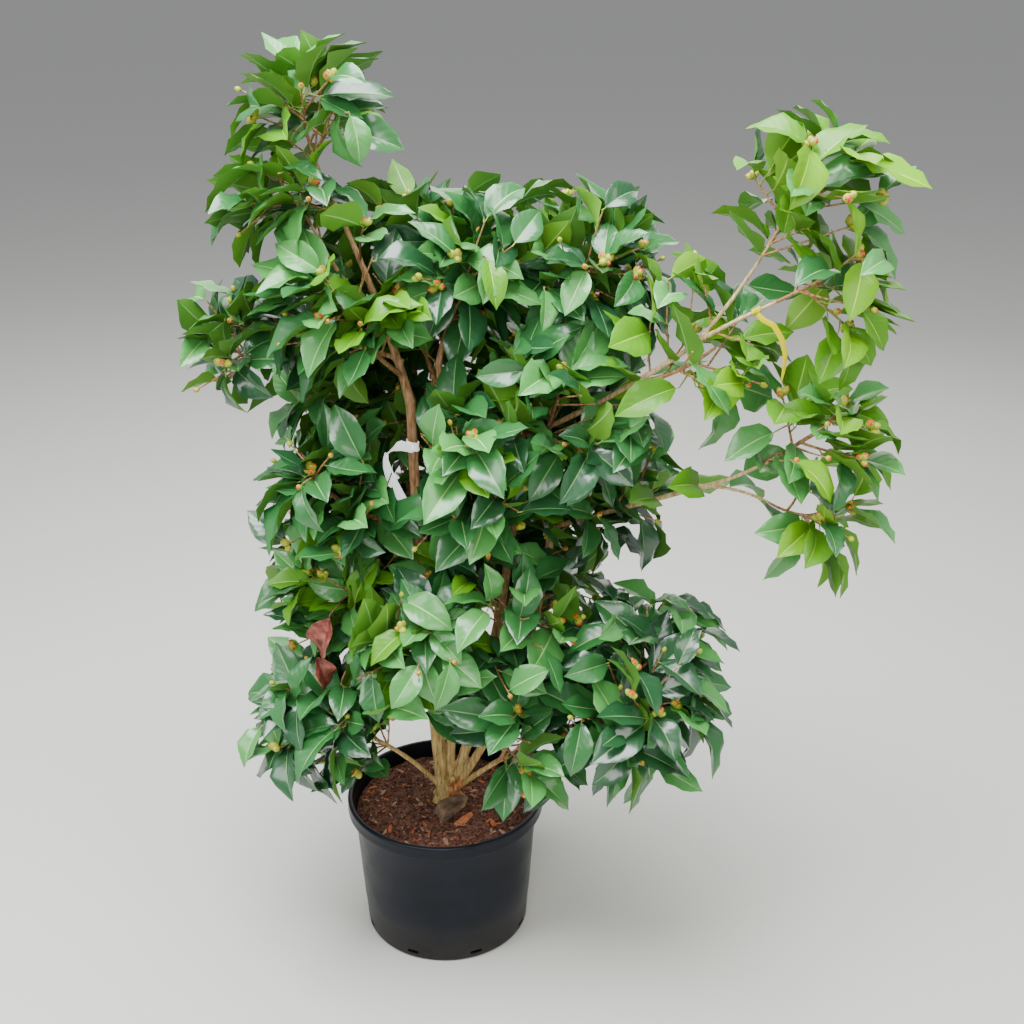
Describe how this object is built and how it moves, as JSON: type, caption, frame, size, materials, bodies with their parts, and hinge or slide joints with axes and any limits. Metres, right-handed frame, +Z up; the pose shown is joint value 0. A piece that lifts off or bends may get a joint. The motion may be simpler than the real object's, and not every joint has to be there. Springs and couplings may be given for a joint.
{
  "type": "potted camellia shrub",
  "caption": "Evergreen camellia shrub with a fan of upright stems, glossy leaves and closed flower buds, growing in a round black nursery pot.",
  "frame": {"origin": "centre of the flat underside of the pot", "axes": "+Z up along the pot's axis, -Y towards the side seen in the picture, +X to the right in it"},
  "size_m": [1.1087, 0.7577, 1.6053],
  "materials": {
    "pot_plastic": "blow-moulded black polyethylene with a soft satin sheen",
    "potting_mix": "loose composted bark and peat, matt and crumbly",
    "bark": "smooth thin pale brown bark with fine lengthwise cracks",
    "foliage": "glossy leathery evergreen leaves with paler undersides",
    "label_plastic": "blank white label film",
    "tie_plastic": "thin bright yellow tie band"
  },
  "bodies": {
    "root": {"pot": "pot_plastic", "potting_mix": "potting_mix", "trunk": "bark", "stem_leader": "bark", "stem_leader_upper": "bark", "bough_crown_left": "bark", "bough_arm_left": "bark", "stem_middle": "bark", "stem_middle_upper": "bark", "stem_right": "bark", "stem_right_upper": "bark", "stem_side": "bark", "stem_back": "bark", "bough_upper_right": "bark", "bough_upper_right_tip": "bark", "bough_upper_right_fork": "bark", "bough_lower_right": "bark", "bough_lower_right_tip": "bark", "bough_lower_right_fork": "bark", "bough_low_left": "bark", "bough_low_right": "bark", "plant_label": "label_plastic", "branch_tie": "tie_plastic", "foliage_crown_top": "foliage", "foliage_crown_left": "foliage", "foliage_arm_left": "foliage", "foliage_crown_front": "foliage", "foliage_crown_middle": "foliage", "foliage_crown_right": "foliage", "foliage_shoulder": "foliage", "foliage_side_right": "foliage", "foliage_front_middle": "foliage", "foliage_front_left": "foliage", "foliage_side_left": "foliage", "foliage_low_left": "foliage", "foliage_low_front": "foliage", "foliage_front_right": "foliage", "foliage_low_middle": "foliage", "foliage_low_right": "foliage", "foliage_upper_right_tip": "foliage", "foliage_upper_right_fork": "foliage", "foliage_upper_right_near": "foliage", "foliage_lower_right_tip": "foliage", "foliage_lower_right_fork": "foliage", "foliage_back_crown": "foliage", "foliage_back_left": "foliage", "foliage_back_right": "foliage", "foliage_back_middle": "foliage", "foliage_back_low_left": "foliage", "foliage_back_low_right": "foliage"}
  },
  "joints": []
}
